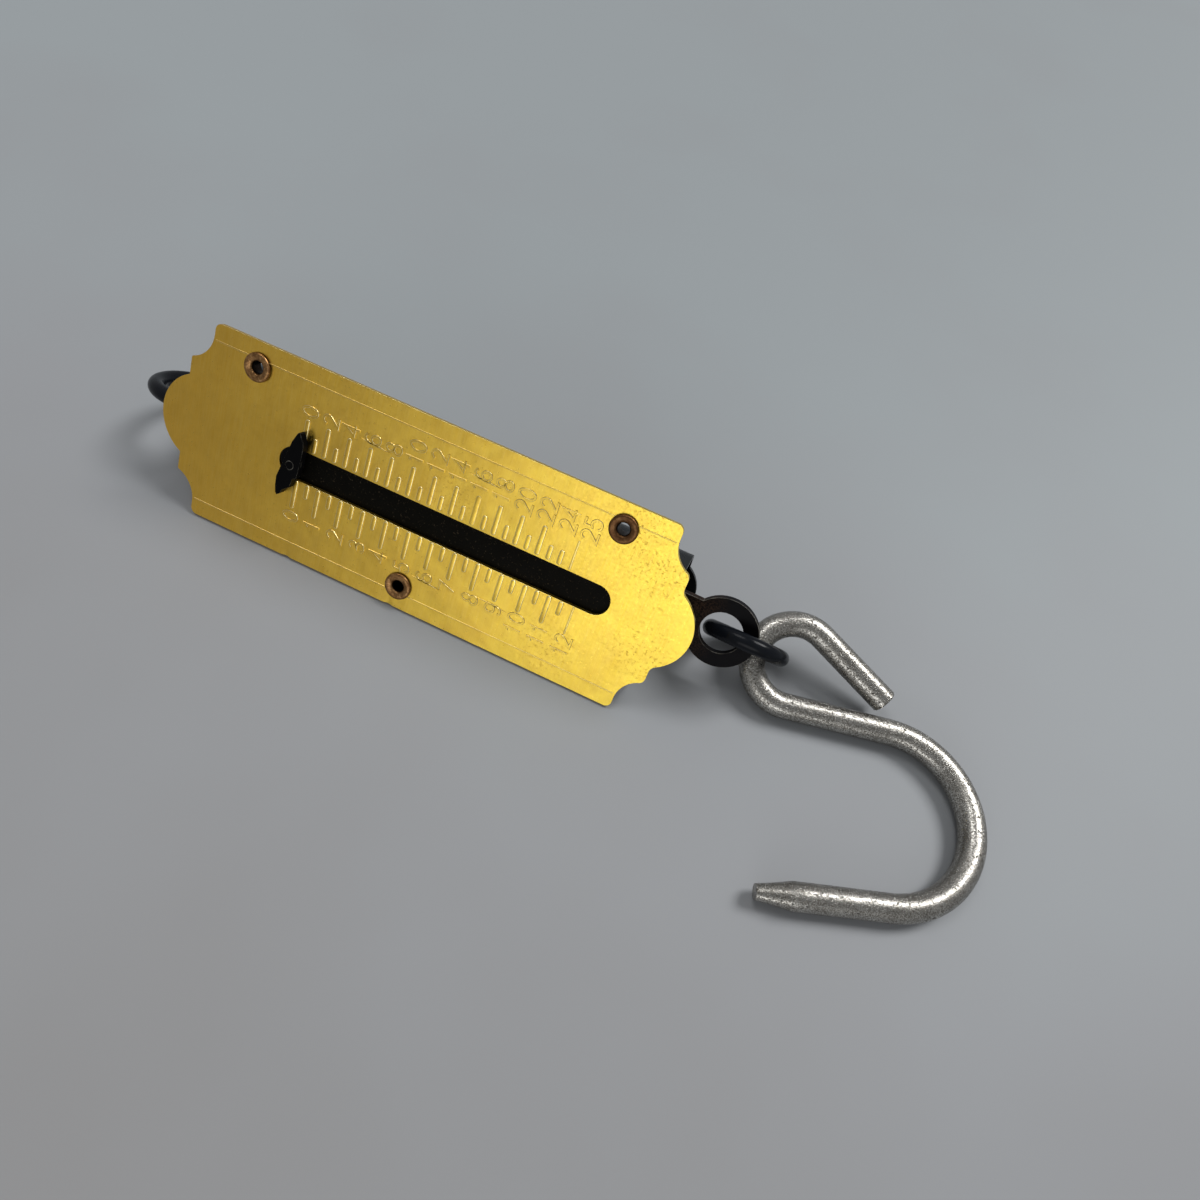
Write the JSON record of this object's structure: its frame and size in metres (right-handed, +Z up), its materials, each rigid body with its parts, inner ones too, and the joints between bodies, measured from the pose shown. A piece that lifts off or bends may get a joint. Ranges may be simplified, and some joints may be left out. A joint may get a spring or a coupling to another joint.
{
  "type": "spring balance",
  "caption": "Pocket spring balance: brass scale plate on a pressed steel case, sliding pointer on a pull bar, suspension ring, eye with link and S-hook.",
  "frame": {"origin": "the point on the pull line where the suspension ring bears in its lug", "axes": "+X along the pull line towards the hook, +Z up from the surface that the balance lies on, rolled on to the lower long edge of its plate and its round back"},
  "size_m": [0.1722, 0.0497, 0.03],
  "materials": {
    "brass_plate": "brushed and worn",
    "black_case": "glossy black",
    "bronze_eyelets": "browned",
    "black_steel": "worn black",
    "ring_steel": "glossy blue-black",
    "plain_steel": "plain",
    "spring_steel": "oiled",
    "pointer_black": "satin black",
    "hook_steel": "dull and speckled"
  },
  "bodies": {
    "case": {"face_plate": "brass_plate", "back_case": "black_case", "eyelets": "bronze_eyelets", "end_plate": "black_case", "hanger": "black_steel", "top_plug": "plain_steel", "top_pin": "plain_steel", "main_spring": "spring_steel"},
    "ring": {"suspension_ring": "ring_steel"},
    "draw": {"bottom_plug": "plain_steel", "bottom_pin": "plain_steel", "pull_bar": "black_steel", "riser": "black_steel", "riser_rivets": "plain_steel", "strip_rivets": "plain_steel", "index_strip": "black_steel", "pointer": "pointer_black", "pointer_rivet": "pointer_black"},
    "link": {"link": "ring_steel"},
    "hook": {"s_hook": "hook_steel"}
  },
  "joints": [
    {"name": "draw_slide", "type": "slide", "parent": "case", "child": "draw", "axis": [1, 0, 0], "range_m": [0, 0.056], "stiffness_N_per_m": 2200, "deforming": ["main_spring"]},
    {"name": "ring_swing", "type": "hinge", "parent": "case", "child": "ring", "pos_m": [-0.0001, 0, 0], "axis": [0, -0.8202, 0.5721], "range_deg": [-80, 80]},
    {"name": "link_swing", "type": "hinge", "parent": "draw", "child": "link", "pos_m": [0.107, 0, 0], "axis": [0, -0.8563, -0.5165], "range_deg": [0, 110]},
    {"name": "hook_swing", "type": "hinge", "parent": "link", "child": "hook", "pos_m": [0.11598, 0.00243, -0.0044], "axis": [0.085, -0.3978, 0.9135], "range_deg": [-30, 90]}
  ]
}
